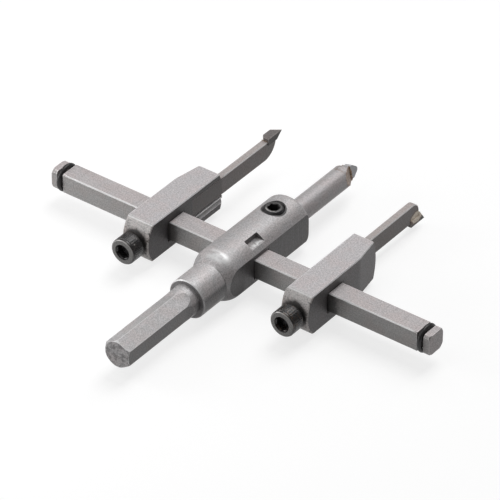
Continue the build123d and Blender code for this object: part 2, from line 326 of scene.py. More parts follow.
# %% A pale floor
FLOOR_SIZE = 12.0
FLOOR_SEEN = 0.3
FLOOR_BOUNCE = 0.12
FLOOR_GLOW = 0.75

half_floor = FLOOR_SIZE / 2
corners = ((-1, -1), (1, -1), (1, 1), (-1, 1))
floor_mesh = bpy.data.meshes.new("floor")
floor_mesh.from_pydata(
    [(x * half_floor, y * half_floor, floor_level) for x, y in corners], [], [(0, 1, 2, 3)]
)
floor = bpy.data.objects.new("floor", floor_mesh)
bpy.context.scene.collection.objects.link(floor)

sheet = Finish("white_sheet", metallic=0.0, roughness=1.0, colour=(1.0, 1.0, 1.0))
sheet.surface.inputs["Specular IOR Level"].default_value = 0.0
rays = [
    sheet.node("ShaderNodeLightPath", output=f"Is {kind} Ray")
    for kind in ("Camera", "Glossy", "Transmission")
]
seen = (rays[0] + rays[1] + rays[2]).rises(0.0, 1.0)
sheet.paint(sheet.blend(seen, shade(WHITE, FLOOR_BOUNCE), shade(WHITE, FLOOR_SEEN)))
sheet.glow(sheet.blend(seen, shade(WHITE, 0.0), shade(WHITE, FLOOR_GLOW)))
floor_mesh.materials.append(sheet.material)
print("floor", FLOOR_SIZE, "m wide, seen at", FLOOR_SEEN, "and glowing at", FLOOR_GLOW)


# %% Lamps and sky
def soft_box(name, azimuth, elevation, distance, power):
    """A square lamp half as wide as it is far. Its angles are in degrees, 0 at the shank."""
    lamp = bpy.data.lights.new(name, "AREA")
    lamp.size = distance / 2
    lamp.energy = power
    box = bpy.data.objects.new(name, lamp)
    bpy.context.scene.collection.objects.link(box)
    turn = math.radians(azimuth)
    rise = math.radians(elevation)
    way = Vector((
        math.sin(turn) * math.cos(rise),
        -math.cos(turn) * math.cos(rise),
        math.sin(rise),
    ))
    box.location = Vector((0, bar_station, 0)) + way * distance
    box.rotation_euler = way.to_track_quat("Z", "Y").to_euler()
    return box


SKY_LEVEL = 0.1
soft_box("top_box", 180, 70, 1.2, 6.0)
soft_box("back_box", 180, 45, 1.2, 2.7)
soft_box("back_left_box", 225, 45, 1.2, 1.2)
soft_box("left_box", -60, 20, 0.32, 0.34)
soft_box("front_box", -20, 20, 0.4, 0.13)
soft_box("high_box", -31, 65, 1.2, 1.5)

sky = bpy.data.worlds.new("sky")
bpy.context.scene.world = sky
sky.use_nodes = True
sky.node_tree.nodes["Background"].inputs["Color"].default_value = shade(WHITE)
sky.node_tree.nodes["Background"].inputs["Strength"].default_value = SKY_LEVEL
bpy.context.scene.view_settings.view_transform = "Standard"
print(len(bpy.data.lights), "lamps, and a sky at", SKY_LEVEL)

# %% [markdown]
# ## Blasted steel
# The spindle, the crossbar, the blocks and the bits were blasted with fine beads, which
# leaves a matt grain with a slight sparkle. One recipe makes it in layers: fine grain in
# colour and relief, wide clouds where the steel looks warmer, a few small pits, and brighter
# metal along the edges, partly rubbed by handling and partly a painted highlight. The milled
# sides that face along the crossbar get painted shade, up to their edges. Each piece then
# adds the marks that only it has.

# %% The recipe for blasted steel
GRAIN = 0.5 * MM
STEEL_METALLIC = 0.25
WARM = (1.0, 0.965, 0.955)


# The argument flank scales the painted shade on the sides that face along the crossbar.
def blasted_steel(name, colour, contrast=0.32, pits=0.05, flank=0.45, wear_and_sheen=1.5, matt=0.44):
    """A finish to be built on, with grain, clouds, pits, painted side shade, and worn edges with
    a painted highlight.
    """
    finish = Finish(name, metallic=STEEL_METALLIC, roughness=0.5, colour=colour)
    grain = finish.noise(GRAIN, detail=3.0).rises(0.25, 0.75)
    clouds = finish.noise(5 * MM, detail=4.0)
    marks = finish.spots(3.2 * MM, 0.28 * MM, pits)
    tone = grain * 0.85 + clouds * 0.15
    finish.paint(finish.blend(tone, shade(colour, 1 - contrast), shade(colour, 1 + contrast)))
    finish.tint(clouds.rises(0.42, 0.62), WARM)
    finish.dim(marks, 0.3)
    # Painted shade: the sides that face along the crossbar are darkened.
    shaded_flanks = abs(finish.facing[0]).rises(0.9, 0.98)
    finish.dim(shaded_flanks, flank)
    # Bright edges: partly wear from handling, partly a painted highlight.
    finish.stain(finish.edges(0.3 * MM) * (1.0 - shaded_flanks), shade(colour, wear_and_sheen))
    finish.rough(matt + grain * 0.1 + clouds * 0.06)
    finish.relief(grain - marks * 2.0, 0.02 * MM)
    return finish


def slanting(first, second):
    """1 where a surface faces half way between two directions, as a chamfer does."""
    return (abs(first) * abs(second)).rises(0.3, 0.45)


def reach(first, second):
    """How far a point is from an axis, from its two offsets square to that axis."""
    return (first * first + second * second).root()


# %% [markdown]
# ## Spindle
# The end of the shank was faced on a lathe, so it shows faint rings and stains. The edges of
# the hexagon are bright, partly rubbed by hands and partly a painted highlight, and the tops
# of the chamfered rims up to the collar get a painted highlight. The shoulders that face back,
# the left flat of the hexagon, the underside from the collar on and the lower right of the
# shoulder get painted shade. Behind the collar a crease runs round the foot of the shoulder,
# with painted shade in it, and the top of the shoulder is burnished, with a painted highlight.
# Each mark is a mask made from the place, such as a range of stations along the spindle, times
# a mask made from the way the surface faces.

# %% Finish the shank and the collar
HEXAGON_END = 31 * MM
COLLAR_START = 34 * MM
RIM_END = 39 * MM
RING_SPACING = 0.45 * MM

spindle = blasted_steel("spindle_finish", (0.54, 0.525, 0.53), matt=0.4)
radius = reach(spindle.x, spindle.z)
shank_end = spindle.y.falls(0.02 * MM, 0.1 * MM)
blotches = spindle.noise(1.5 * MM, detail=3.0, warp=0.6).rises(0.42, 0.62)
turning = (radius * (math.tau / RING_SPACING)).sine()
spindle.dim(shank_end * blotches, 0.5)
spindle.dim(shank_end * turning.rises(-1.0, 1.0), 0.86)
# Painted shade on the faces that look back towards the shank end.
back_faces_shade = spindle.facing[1].falls(-0.98, -0.9)
spindle.dim(back_faces_shade * (1.0 - shank_end), 0.5)

# Painted shade on the left flat of the hexagon.
left_flat_shade = spindle.facing[0].falls(-0.45, -0.3)
spindle.dim(left_flat_shade * spindle.y.falls(HEXAGON_END, HEXAGON_END + 2 * MM), 0.88)
# Bright hexagon edges: partly wear, partly a painted highlight.
hexagon_wear_and_sheen = spindle.edges(0.4 * MM) * spindle.y.falls(HEXAGON_END, COLLAR_START)
spindle.stain(hexagon_wear_and_sheen * 0.5, shade(WHITE, 0.9))
# Painted highlight on the upper side of the chamfered rims of the shank end and the collar.
chamfer_highlight = spindle.facing[1].between(-0.8, -0.6, 0.05) * spindle.y.falls(RIM_END, RIM_END + 0.1 * MM)
spindle.stain(chamfer_highlight * spindle.z.rises(3 * MM, 6 * MM), shade(WHITE, 0.95))
print("the hexagon is marked up to y", HEXAGON_END, "and the collar from y", COLLAR_START)

# %% Finish the shoulder
SHOULDER_FOOT = 50.9 * MM
SHOULDER_TOP = 59 * MM
BURNISH_AND_SHEEN_FROM = 53.8 * MM
BURNISH_AND_SHEEN_TO = 55.6 * MM

# Painted shade on the faces that point down, from the collar on.
underside_shade = spindle.facing[2].falls(-0.5, 0.2)
spindle.dim(underside_shade * spindle.y.rises(COLLAR_START, COLLAR_START + 2 * MM), 0.68)
spindle.dim(spindle.y.rises(SHOULDER_TOP - 4 * MM, SHOULDER_TOP + 1 * MM), 0.88)
# Painted shade on the lower right of the shoulder.
shoulder_shadow = spindle.z.falls(-6 * MM, 3 * MM) * spindle.x.rises(0, 2 * MM)
on_shoulder = spindle.y.between(SHOULDER_FOOT + 0.6 * MM, SHOULDER_TOP, 2 * MM)
spindle.dim(shoulder_shadow * on_shoulder, 0.4)

# The burnished top of the shoulder: lower roughness, and a painted highlight in its colour.
burnished_and_lit = spindle.y.between(BURNISH_AND_SHEEN_FROM, BURNISH_AND_SHEEN_TO, 1.6 * MM) * spindle.z.rises(0, 1 * MM)
burnished_and_lit = burnished_and_lit * spindle.facing[0].between(-0.1, 0.35, 0.35)
streaks = spindle.noise(1.6 * MM, detail=4.0, stretch=(3, 1, 1)).rises(0.25, 0.55)
spindle.stain(burnished_and_lit * streaks, shade(WHITE, 0.84))
spindle.rough(spindle.roughness - burnished_and_lit * 0.1)
# Painted shade in the crease at the foot of the shoulder.
crease_shade = spindle.y.between(SHOULDER_FOOT - 0.05 * MM, SHOULDER_FOOT + 0.05 * MM, 0.16 * MM)
spindle.dim(crease_shade * spindle.noise(3 * MM).rises(0.35, 0.5), 0.5)
print("the shoulder is burnished from y", BURNISH_AND_SHEEN_FROM, "to y", BURNISH_AND_SHEEN_TO)

# %% [markdown]
# The body has two milled flats, on which the cutter left upright marks. The hole of the set
# screw gets painted shade. The step of the notch that the punch left when it staked the bar
# gets painted shade, with a bright burr along its open side.

# %% Finish the body
SET_SCREW_HOLE = 4.5 * MM
NOTCH_HALF_WIDTH = 3.6 * MM
NOTCH_REACH = 9.5 * MM
BURR_START = 4.2 * MM

flats = abs(spindle.x).between(body_high.x - 0.03 * MM, body_high.x + 0.03 * MM, 0.02 * MM)
upright = spindle.noise(0.4 * MM, detail=2.0, stretch=(1, 1, 24)).rises(0.35, 0.7)
spindle.dim(flats, 0.8)
spindle.dim(flats * upright, 0.8)

from_set_screw = reach(spindle.x, spindle.y - set_screw_middle)
# Painted shade in the hole of the set screw.
hole_shade = from_set_screw.falls(SET_SCREW_HOLE, SET_SCREW_HOLE + 0.15 * MM)
spindle.dim(hole_shade * spindle.z.rises(0, 1 * MM), 0.15)

near_bar = abs(spindle.y - bar_station).falls(NOTCH_HALF_WIDTH, NOTCH_HALF_WIDTH + 0.1 * MM)
looks_up = spindle.facing[2].rises(0.9, 0.99)
notch = near_bar * looks_up * radius.falls(NOTCH_REACH, NOTCH_REACH + 0.35 * MM)
crushed = spindle.noise(1.1 * MM, detail=3.0).rises(0.35, 0.55)
crushed = crushed * spindle.x.rises(BURR_START, BURR_START + 1.8 * MM)
# Painted shade on the floor of the notch. The burr along its open side is lighter metal.
spindle.dim(notch, 0.8)
spindle.stain(notch * crushed * 0.8, shade(WHITE, 0.9))
dress("arbor_body", spindle)

# %% [markdown]
# ## Crossbar
# The bar is cold drawn, a little pinkish beside the spindle, with long edges that are rubbed
# where the blocks have slid along them and carry a painted highlight, brighter towards the
# right end. Fine lines run along it, and the blocks have left faint cross marks on it. Its
# upright sides are cooler in tone. They get a painted shadow on the right of each block and
# of the body, and painted shade towards the right end.

# %% Finish the crossbar
COOL = (0.965, 1.0, 0.985)
BLOCK_SHADOW_WIDTH = 6 * MM
SHADE_WIDTH = 14 * MM
SLIDING_LENGTH = 74 * MM

bar = blasted_steel("bar_finish", (0.51, 0.48, 0.483), flank=1.0, wear_and_sheen=1.9)
drawn = bar.noise(0.5 * MM, detail=2.0, stretch=(26, 1, 1)).rises(0.4, 0.7)
cross_marks = bar.noise(0.8 * MM, detail=1.0, stretch=(1, 12, 12)).rises(0.62, 0.7)
bar_sides = abs(bar.facing[1])
bar.dim(drawn, 0.9)
bar.dim(cross_marks, 0.88)
bar.tint(bar_sides, COOL)
print("drawn lines run from x", bar_low.x, "to x", bar_high.x)

# %% Paint shadow and shade on the sides of the bar
for side in SIDES:
    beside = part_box(f"{side}_clamp_block")[1].x
    # Painted shadow on the bar's sides, on the right of the block.
    block_shadow = bar.x.rises(beside - BLOCK_SHADOW_WIDTH / 2, beside) * bar.x.falls(beside, beside + BLOCK_SHADOW_WIDTH)
    block_shadow = (block_shadow + bar.noise(1.5 * MM, detail=3.0) * 0.6 - 0.3).rises(0.05, 0.85)
    bar.dim(block_shadow * bar_sides, 0.36)
    print("oil on the right of the", side, "block, around x", beside)
# Painted shadow on the bar's sides, on the right of the body.
body_shadow = bar.x.rises(0, 1 * MM) * bar.x.falls(body_high.x, body_high.x + SHADE_WIDTH)
bar.dim(body_shadow * bar_sides, 0.35)
# Painted shade on the sides towards the right end. The edges there get a stronger painted
# highlight below.
right_end_falloff = bar.x.rises(30 * MM, 62 * MM)
bar.dim(right_end_falloff * bar_sides, 0.82)

# %% Rub its long edges bright, with a painted highlight
# The long edges: partly rubbed by the blocks, partly a painted highlight.
rubbed_and_lit_edges = slanting(bar.facing[1], bar.facing[2])
rubbed_and_lit_edges = rubbed_and_lit_edges * abs(bar.x).falls(SLIDING_LENGTH, SLIDING_LENGTH + 2 * MM)
bar.stain(rubbed_and_lit_edges * 0.85, shade(WHITE, 0.86))
# A stronger painted highlight on the edges towards the right end.
bar.stain(rubbed_and_lit_edges * right_end_falloff * 0.7, shade(WHITE))
dress("crossbar", bar)

# %% [markdown]
# ## Clamp blocks
# The bulging ends of the blocks look coarser than the flats and a little brown, with dark
# specks. The rear of each block is darker around its clamp screw, and its chamfers and top
# rear edge get a painted highlight. The upright sides get painted shade, darker than the
# tops, most of all around the hole for the crossbar, and their chamfers get a painted
# highlight.

# %% Finish the ends of the clamp blocks
BROWN = (1.0, 0.98, 0.94)
DARKENING_RADIUS = 5.2 * MM

block = blasted_steel("block_finish", (0.52, 0.498, 0.507), wear_and_sheen=1.7)
block_middle = abs(block_low.x + block_high.x) / 2
bulge = abs(block.facing[1]).rises(0.25, 0.6)
rear = block.facing[1].falls(-0.6, -0.25)
side_edge = abs(abs(block.x) - block_middle).rises(1.0 * MM, 4.5 * MM)
specks = block.noise(0.8 * MM, detail=3.0).rises(0.56, 0.64)
scratches = block.noise(0.7 * MM, detail=2.0, stretch=(5, 1, 5)).rises(0.6, 0.66)
block.tint(bulge, BROWN)
block.dim(bulge * specks * (0.4 + side_edge * 0.6), 0.4)
block.dim(rear * side_edge * scratches, 0.35)
# Painted highlight on the rear chamfers, and below it along the top rear edge.
block.stain(rear * slanting(block.facing[1], block.facing[2]) * 0.2, shade(WHITE, 0.85))
rear_edge_highlight = rear * block.z.rises(block_high.z - 0.75 * MM, block_high.z - 0.35 * MM)
block.stain(rear_edge_highlight * 0.7, shade(WHITE, 0.95))
# The rear is darker in a ragged ring around each clamp screw.
from_screw = reach(abs(block.x) - block_middle, block.z)
darkening = from_screw + block.noise(1.2 * MM, detail=3.0) * 1.6 * MM
block.dim(rear * darkening.falls(DARKENING_RADIUS, DARKENING_RADIUS + 1.6 * MM), 0.14)
print("grime around the screws, in the middle of the blocks at x", block_middle)

# %% Finish the sides of the clamp blocks
BAR_SHADE = 5.0 * MM
HOLE_HALF = 4.4 * MM

shaded_sides = abs(block.facing[0]).rises(0.96, 0.998)
forward = block.y - bar_station
from_bar = reach(forward, block.z) + block.noise(1.5 * MM, detail=3.0) * 2.0 * MM
hole_edge = (abs(forward + block.z) + abs(forward - block.z)) / 2
# Painted shade on the upright sides: all over, more on the left block, more near the crossbar,
# most at the edge of its hole.
block.dim(shaded_sides, 0.76)
block.dim(shaded_sides * block.x.falls(-1 * MM, 0), 0.66)
block.dim(shaded_sides * from_bar.falls(BAR_SHADE, BAR_SHADE + 4.5 * MM), 0.36)
block.dim(shaded_sides * hole_edge.falls(HOLE_HALF, HOLE_HALF + 0.2 * MM), 0.15)
# Painted highlight on the chamfers between the upright sides and the tops.
block.stain(slanting(block.facing[0], block.facing[2]) * 0.6, shade(WHITE, 0.85))
for side in SIDES:
    dress(f"{side}_clamp_block", block)

# %% [markdown]
# ## Pilot drill
# The rod of the pilot drill is ground, so its grain is fainter. A carbide plate is brazed
# into a slot across its end, and on both sides of it the rod is ground away along a slope.
# The heat of the brazing burnt these slopes brown, with golden patches, and stained the rod
# behind them. The mask for a slope compares how far a point is from the plate's middle with
# the height of the slope there, so the slope is measured first.

# %% Measure the tip of the pilot drill
PLATE_HALF_WIDTH = 2.5 * MM
PLATE_HALF_THICKNESS = 1.4 * MM
GULLET_LENGTH = 5.9 * MM
GULLET_SETBACK = 0.7 * MM

plate_low, plate_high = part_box("pilot_carbide_tip")
plate_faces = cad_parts["pilot_carbide_tip"].data.polygons
plate_way = max(plate_faces, key=lambda face: face.area).normal.copy()
if plate_way.x < 0:
    plate_way.negate()
plate_up = plate_way.cross(Vector((0, 1, 0)))
pilot_radius = (pilot_high.z - pilot_low.z) / 2
gullet_end = pilot_high.y - GULLET_SETBACK
gullet_start = gullet_end - GULLET_LENGTH
gullet_floor = PLATE_HALF_THICKNESS - 0.05 * MM
gullet_slope = (pilot_radius - gullet_floor) / GULLET_LENGTH
print("the plate faces", plate_way, "and the slopes start at y", gullet_start)

# %% Finish the pilot drill
BURNT = (0.24, 0.16, 0.12)
GOLDEN = (0.62, 0.5, 0.4)

pilot = blasted_steel("pilot_finish", (0.47, 0.45, 0.455), contrast=0.2, pits=0.02, flank=1.0)
from_plate = abs(pilot.x * plate_way.x + pilot.z * plate_way.z)
slope_height = (gullet_end - pilot.y) * gullet_slope + gullet_floor
on_slope = abs(from_plate - slope_height).falls(0.05 * MM, 0.15 * MM)
on_slope = on_slope * pilot.y.rises(gullet_start - 0.1 * MM, gullet_start)
burns = 0.55 + pilot.noise(0.8 * MM).rises(0.35, 0.6) * 0.45
pilot.stain(on_slope * burns, shade(BURNT))
pilot.stain(on_slope * pilot.noise(0.5 * MM, detail=3.0).rises(0.5, 0.62), shade(GOLDEN))
stained = pilot.y.rises(gullet_start - 2 * MM, gullet_start + 1 * MM) * pilot.noise(1.6 * MM)
pilot.stain(stained.rises(0.35, 0.65) * 0.45, shade(BURNT))
print("the slopes rise", round(gullet_slope, 3), "mm per mm, over", GULLET_LENGTH, "m")

# %% [markdown]
# ## Cutter bits
# The bits are flat bars, ground across their length. Their sides get painted shade, most of
# all inside the blocks, and their edges get a painted highlight where they stand free. When
# the insert of the right bit was brazed on, the braze ran down its outer side and left a light
# patch with a ragged, burnt edge. The patch lies over the bit and the insert, so both
# finishes get it from one function.

# %% Finish the cutter bits
BRAZE = (0.86, 0.76, 0.64)
PATCH_Y = bar_station + 59.8 * MM
PATCH_Z = -4.3 * MM
PATCH_HALF_LENGTH = 3.4 * MM
PATCH_HALF_HEIGHT = 2.2 * MM
PATCH_SIDE = 31.3 * MM

bit = blasted_steel("bit_finish", (0.48, 0.44, 0.43), contrast=0.25, pits=0.02)
ground = bit.noise(0.4 * MM, detail=2.0, stretch=(14, 1, 1)).rises(0.4, 0.7)
bit.dim(ground, 0.92)
bit.dim(bit.facing[2].rises(0.9, 0.98), 0.92)
# Painted shade on the sides of the bits inside the blocks.
bit.dim(bit.y.falls(block_high.y - 1 * MM, block_high.y) * abs(bit.facing[0]), 0.7)


def stain_with_braze(finish):
    """Stains the outer side of the right bit, where the braze ran out."""
    along = (finish.y - PATCH_Y) / PATCH_HALF_LENGTH
    across = (finish.z - PATCH_Z) / PATCH_HALF_HEIGHT
    ragged = reach(along, across) + finish.noise(1.3 * MM, detail=3.0) * 0.5 - 0.25
    outer_side = finish.x.rises(PATCH_SIDE, PATCH_SIDE + 0.1 * MM)
    patch = ragged.falls(0.85, 1.0) * outer_side
    specks = finish.noise(0.6 * MM, detail=2.0).rises(0.56, 0.66)
    finish.stain(ragged.falls(1.0, 1.3) * outer_side * 0.7, shade(BURNT))
    finish.stain(patch, shade(BRAZE))
    finish.dim(patch * specks, 0.62)


free_end = bit.y.rises(block_high.y, block_high.y + 1 * MM)
# Painted highlight on the chamfered edges where the bits stand free.
bit.stain(slanting(bit.facing[0], bit.facing[2]) * free_end * 0.7, shade(WHITE, 0.85))
stain_with_braze(bit)
for side in SIDES:
    dress(f"{side}_cutter_bit", bit)

# %% [markdown]
# ## Carbide
# Tungsten carbide is a dull grey, pressed from powder and then ground, so it shows an even,
# very fine texture. The plate of the pilot drill is lighter than the inserts. Their sharp
# edges catch the light.

# %% Finish the carbide
plate = blasted_steel("plate_finish", (0.52, 0.525, 0.54), contrast=0.12, pits=0.0, flank=1.0)

insert = blasted_steel(
    "insert_finish", (0.17, 0.155, 0.15), contrast=0.3, pits=0.0, wear_and_sheen=2.2
)
stain_with_braze(insert)
dress("left_carbide_insert", insert)

# %% [markdown]
# ## Black oxide
# The screws and the wire rings were blackened in a hot bath. The layer is thin and glossy,
# and it wears off first where a key or a hand touches it. So the set screw is rubbed around
# its socket, with a painted highlight on the side towards the shank. The clamp screws have a
# grey face, a painted highlight along the top of the rim, painted glints on the knurl, and
# brown patches, most on the right one.

# %% Blacken the rings and the set screw
BLACK = (0.03, 0.029, 0.03)
RUBBED_AND_SHEEN = (0.2, 0.195, 0.19)
RUBBED_FROM = 2.45 * MM
RUBBED_TO = 2.9 * MM


def black_oxide(name, gloss=0.28):
    """A black, glossy finish with a little unevenness."""
    return blasted_steel(
        name, BLACK, contrast=0.3, pits=0.0, flank=1.0, wear_and_sheen=2.5, matt=gloss
    )


wire_black = black_oxide("ring_finish", gloss=0.32)
set_screw_black = black_oxide("set_screw_finish")
along_body = set_screw_black.y - set_screw_middle
socket_rim = reach(set_screw_black.x, along_body).between(RUBBED_FROM, RUBBED_TO, 0.15 * MM)
towards_shank = along_body.falls(-2.4 * MM, -1.2 * MM)
# The socket rim: lighter all round from rubbing, with a painted highlight on the side towards the
# shank.
lit_side = towards_shank * set_screw_black.noise(1.2 * MM).rises(0.3, 0.6)
rubbed_and_lit = socket_rim * (0.2 + lit_side * 0.8) * set_screw_black.facing[2].rises(0.5, 0.9)
set_screw_black.stain(rubbed_and_lit, shade(RUBBED_AND_SHEEN, 1.8))
print("the set screw is rubbed around y", set_screw_middle)

# %% Blacken the clamp screws
RUST = (0.1, 0.068, 0.05)
SIDE_RADIUS = 4.8 * MM
RIM_FROM = 4.55 * MM
FACE_DEPTH = 0.6 * MM

cap_black = black_oxide("cap_screw_finish", gloss=0.2)
cap_radius = reach(abs(cap_black.x) - block_middle, cap_black.z)
on_side = cap_radius.rises(SIDE_RADIUS, SIDE_RADIUS + 0.1 * MM)
from_face = cap_black.y - screw_low.y
handled = cap_black.noise(1.1 * MM, detail=3.0, warp=0.5)
rusty = handled.rises(0.5, 0.66) * (0.15 + cap_black.x.rises(0, 1 * MM) * 0.85)
cap_black.stain(rusty, shade(RUST, 0.8))
ridges = cap_radius.rises(SIDE_RADIUS + 0.1 * MM, SIDE_RADIUS + 0.19 * MM)
cap_black.stain(ridges * handled.rises(0.3, 0.6) * 0.06, shade(RUBBED_AND_SHEEN))
# Painted glints on the knurl.
glints = cap_black.noise(1.2 * MM, detail=2.0).rises(0.66, 0.72) * on_side
cap_black.stain(glints * 0.6, shade(RUBBED_AND_SHEEN, 2.5))
on_face = from_face.falls(FACE_DEPTH, FACE_DEPTH + 0.1 * MM)
on_face = on_face * cap_black.facing[1].falls(-0.97, -0.9)
cap_black.stain(on_face * (0.6 + handled * 0.4), shade(RUBBED_AND_SHEEN, 1.05))
rim = cap_radius.between(RIM_FROM, SIDE_RADIUS, 0.1 * MM)
rim = rim * from_face.falls(FACE_DEPTH + 0.1 * MM, FACE_DEPTH + 0.2 * MM)
# Painted highlight along the top of the rim, with lower roughness there.
cap_rim_highlight = rim * (0.2 + cap_black.z.rises(-1 * MM, 4.5 * MM) * 0.8)
cap_black.stain(cap_rim_highlight * 0.8, shade(RUBBED_AND_SHEEN, 3.0))
cap_black.rough(cap_black.roughness - cap_rim_highlight * 0.12)
print("the faces of the clamp screws are at y", screw_low.y)

# %% [markdown]
# ## Clamp screws
# Each block is clamped by a socket cap screw. The solid has the head, the socket and a
# plain rod. The real one has a knurled side, a rounded rim, a groove under the rim and a
# thread that shows in the gap behind the block. All of that is a radius that changes with
# the angle and with the station along the axis. So the screw is made as on a lathe, as a
# stack of rings joined by a skin, and each ring is a small function of the angle.

# %% Ring shapes: an angle in, a radius and a station out
SEGMENTS = 240


def round_ring(radius, station):
    return lambda angle: (radius, station)


def hex_ring(across_flats, station):
    """A hexagon, whose radius grows from the middle of each side to its corners."""
    def shape(angle):
        from_middle = angle % (math.pi / 3) - math.pi / 6
        return across_flats / 2 / math.cos(from_middle), station
    return shape


def knurled_ring(radius, station, depth, ridges):
    """Sharp ridges at the full radius with round valleys between them."""
    def shape(angle):
        valley = abs(math.sin(angle * ridges / 2))
        return radius - depth * valley, station
    return shape


def thread_ring(radius, station, pitch, depth):
    """One slice through a right-hand thread, with its crest at the full radius."""
    def shape(angle):
        phase = (station / pitch - angle / math.tau) % 1.0
        flank = 1.15 - 1.3 * abs(2 * phase - 1)
        return radius - depth * min(1.0, max(0.0, flank)), station
    return shape


# %% Joining rings into a skin
def skin(loops):
    """A mesh over loops of points, with a face over the first and the last loop."""
    shape = bmesh.new()
    rows = [[shape.verts.new(point) for point in loop] for loop in loops]
    for row, next_row in zip(rows, rows[1:]):
        for this in range(len(row)):
            after = (this + 1) % len(row)
            shape.faces.new((row[this], row[after], next_row[after], next_row[this]))
    shape.faces.new(rows[0])
    shape.faces.new(rows[-1])
    return shape


def turned(rings, origin, axis, side):
    """The skin over rings around an axis. Angle 0 is the side, and stations follow the axis."""
    up = axis.cross(side)
    loops = []
    for ring in rings:
        loop = []
        for step in range(SEGMENTS):
            angle = step * math.tau / SEGMENTS
            radius, station = ring(angle)
            out = side * math.cos(angle) + up * math.sin(angle)
            loop.append(origin + axis * station + out * radius)
        loops.append(loop)
    return skin(loops)


# %% From a mesh to a piece of the tool
def add_piece(name, shape, finish, body, sharp_angle=35):
    """Turns a mesh into a piece of the tool, which moves with that body."""
    bmesh.ops.recalc_face_normals(shape, faces=shape.faces[:])
    mesh = bpy.data.meshes.new(name)
    shape.to_mesh(mesh)
    shape.free()
    mesh.materials.append(finish.material)
    mesh.shade_smooth()
    mesh.set_sharp_from_angle(angle=math.radians(sharp_angle))
    piece = bpy.data.objects.new(name, mesh)
    bpy.context.scene.collection.objects.link(piece)
    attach(piece, body)
    print(name, "has", len(mesh.polygons), "faces")
    return piece


# %% The socket, the thread and the rim of a screw
SLICES_PER_TURN = 10
RIM_SLICES = 8


def screw_socket(across_flats, depth, mouth_depth):
    """The rings of a hexagon socket, from its drilled bottom up to its round mouth."""
    return [
        round_ring(0.1 * MM, depth + 0.5 * MM),
        round_ring(across_flats * 0.46, depth + 0.1 * MM),
        hex_ring(across_flats, depth),
        hex_ring(across_flats, mouth_depth),
        round_ring(across_flats * 0.59, mouth_depth / 2),
        round_ring(across_flats * 0.61, 0),
    ]


def thread(radius, start, length, pitch, depth):
    """Slices through a thread, from its start over its length."""
    slices = int(length / pitch * SLICES_PER_TURN)
    return [
        thread_ring(radius, start + length * cut / slices, pitch, depth)
        for cut in range(slices + 1)
    ]


def rounded_rim(radius, rounding):
    """A quarter arc from the head's face over to its side."""
    turns = [math.pi / 2 * cut / RIM_SLICES for cut in range(RIM_SLICES + 1)]
    return [
        round_ring(
            radius - rounding + rounding * math.sin(turn),
            rounding - rounding * math.cos(turn),
        )
        for turn in turns
    ]


# %% Stack the rings of a clamp screw
HEAD_HEIGHT = 6 * MM
SOCKET_ACROSS = 5 * MM
SOCKET_DEPTH = 3 * MM
SOCKET_MOUTH = 0.7 * MM
RIM_ROUNDING = 0.75 * MM
GROOVE_DEPTH = 0.22 * MM
KNURL_DEPTH = 0.06 * MM
KNURL_RIDGES = 40
KNURL_STATIONS = (1.45, 2.5, 3.5, 4.5, 5.6)
HEAD_BEVEL = 0.3 * MM
ROD_RADIUS = 3 * MM
ROD_END_RADIUS = 2.4 * MM
CLAMP_PITCH = 1 * MM
CLAMP_THREAD_DEPTH = 0.5 * MM
THREAD_SHOWN = 4 * MM

head_radius = (screw_high.z - screw_low.z) / 2
screw_length = screw_high.y - screw_low.y
groove = [
    round_ring(head_radius, 1.0 * MM),
    round_ring(head_radius - GROOVE_DEPTH, 1.12 * MM),
    round_ring(head_radius - GROOVE_DEPTH, 1.3 * MM),
]
knurl = [
    knurled_ring(head_radius, station * MM, KNURL_DEPTH, KNURL_RIDGES)
    for station in KNURL_STATIONS
]
under_head = [
    round_ring(head_radius - HEAD_BEVEL, HEAD_HEIGHT),
    round_ring(ROD_RADIUS, HEAD_HEIGHT),
]
rod_end = [
    round_ring(ROD_RADIUS, screw_length - (ROD_RADIUS - ROD_END_RADIUS)),
    round_ring(ROD_END_RADIUS, screw_length),
]
cap_screw = (
    screw_socket(SOCKET_ACROSS, SOCKET_DEPTH, SOCKET_MOUTH)
    + rounded_rim(head_radius, RIM_ROUNDING)
    + groove
    + knurl
    + under_head
    + thread(ROD_RADIUS, HEAD_HEIGHT, THREAD_SHOWN, CLAMP_PITCH, CLAMP_THREAD_DEPTH)
    + rod_end
)
print("a clamp screw has", len(cap_screw), "rings of", SEGMENTS, "points")

# %% Turn the two clamp screws
for side in SIDES:
    low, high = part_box(f"{side}_clamp_screw")
    face_middle = Vector(((low.x + high.x) / 2, low.y, 0))
    shape = turned(cap_screw, face_middle, Vector((0, 1, 0)), Vector((0, 0, 1)))
    screw = add_piece(
        f"{side}_cap_screw", shape, cap_black, f"{side}_screw"
    )
    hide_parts(f"{side}_clamp_screw")

# %% [markdown]
# ## Set screw
# The screw in the top of the body holds the pilot drill. It has no head, only a bevelled
# end with a hexagon socket, and its thread starts right under the bevel. The same rings
# make it, along an axis that points down.

# %% Turn the set screw
SET_SCREW_SOCKET = 4 * MM
SET_SCREW_SOCKET_DEPTH = 3.6 * MM
SET_SCREW_MOUTH = 0.2 * MM
BEVEL = 0.6 * MM
SET_SCREW_PITCH = 1.25 * MM
SET_THREAD_START = 0.65 * MM
SET_THREAD_LENGTH = 3 * MM
SET_THREAD_DEPTH = 0.6 * MM

